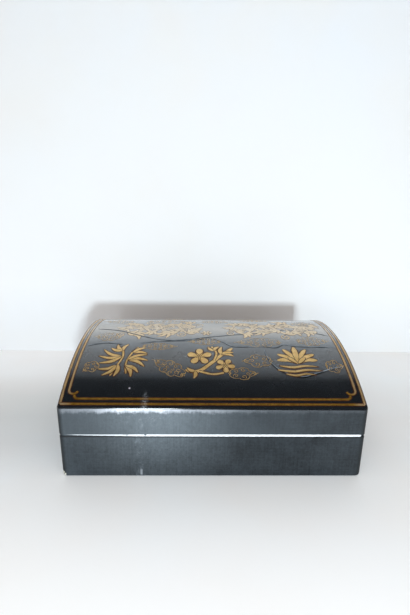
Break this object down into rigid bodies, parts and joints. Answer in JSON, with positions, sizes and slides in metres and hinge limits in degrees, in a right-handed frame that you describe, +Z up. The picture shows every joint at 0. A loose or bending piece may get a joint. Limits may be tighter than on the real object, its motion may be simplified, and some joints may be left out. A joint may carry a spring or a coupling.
{
  "type": "lacquer box with vaulted lid",
  "caption": "Rectangular lacquered wooden box whose vaulted lid, arched from front to back, lifts off a thin inner lip. Flat ends, flush seam, gilt line border on the vault.",
  "frame": {"origin": "centre of the underside, on the surface that the box stands on", "axes": "+Z up, +X along the width to the right as seen from the front, the front towards -Y"},
  "size_m": [0.3, 0.25, 0.113],
  "materials": {
    "vault_lacquer": "black lacquer polished to a gloss, over a wooden core",
    "side_lacquer": "black lacquer worn to a grey satin, over a wooden core",
    "inner_lacquer": "red lacquer, semi-gloss, on the faces of the boards that show inside",
    "gilt": "worn gold leaf and gold powder on lacquer",
    "bamboo": "bare bamboo"
  },
  "bodies": {
    "base": {"base_lacquer_coat": "side_lacquer", "base_bottom_board": "inner_lacquer", "base_front_board": "inner_lacquer", "base_back_board": "inner_lacquer", "base_left_board": "inner_lacquer", "base_right_board": "inner_lacquer", "front_liner_board": "inner_lacquer", "back_liner_board": "inner_lacquer", "left_liner_board": "inner_lacquer", "right_liner_board": "inner_lacquer", "base_front_left_peg_1": "bamboo", "base_front_left_peg_2": "bamboo", "base_front_right_peg_1": "bamboo", "base_front_right_peg_2": "bamboo", "base_back_left_peg_1": "bamboo", "base_back_left_peg_2": "bamboo", "base_back_right_peg_1": "bamboo", "base_back_right_peg_2": "bamboo", "bottom_front_peg_1": "bamboo", "bottom_front_peg_2": "bamboo", "bottom_front_peg_3": "bamboo", "bottom_back_peg_1": "bamboo", "bottom_back_peg_2": "bamboo", "bottom_back_peg_3": "bamboo", "bottom_left_peg_1": "bamboo", "bottom_left_peg_2": "bamboo", "bottom_right_peg_1": "bamboo", "bottom_right_peg_2": "bamboo"},
    "lid": {"lid_lacquer_coat": "vault_lacquer", "lid_front_rail": "inner_lacquer", "lid_back_rail": "inner_lacquer", "lid_left_end": "inner_lacquer", "lid_right_end": "inner_lacquer", "lid_stave_1": "inner_lacquer", "lid_stave_2": "inner_lacquer", "lid_stave_3": "inner_lacquer", "lid_stave_4": "inner_lacquer", "lid_stave_5": "inner_lacquer", "lid_stave_6": "inner_lacquer", "lid_stave_7": "inner_lacquer", "lid_stave_8": "inner_lacquer", "lid_stave_9": "inner_lacquer", "lid_front_left_peg_1": "bamboo", "lid_front_left_peg_2": "bamboo", "lid_front_right_peg_1": "bamboo", "lid_front_right_peg_2": "bamboo", "lid_back_left_peg_1": "bamboo", "lid_back_left_peg_2": "bamboo", "lid_back_right_peg_1": "bamboo", "lid_back_right_peg_2": "bamboo"}
  },
  "joints": [
    {"name": "lid_lift", "type": "slide", "parent": "base", "child": "lid", "axis": [0, 0, 1], "range_m": [0, 0.1]}
  ]
}
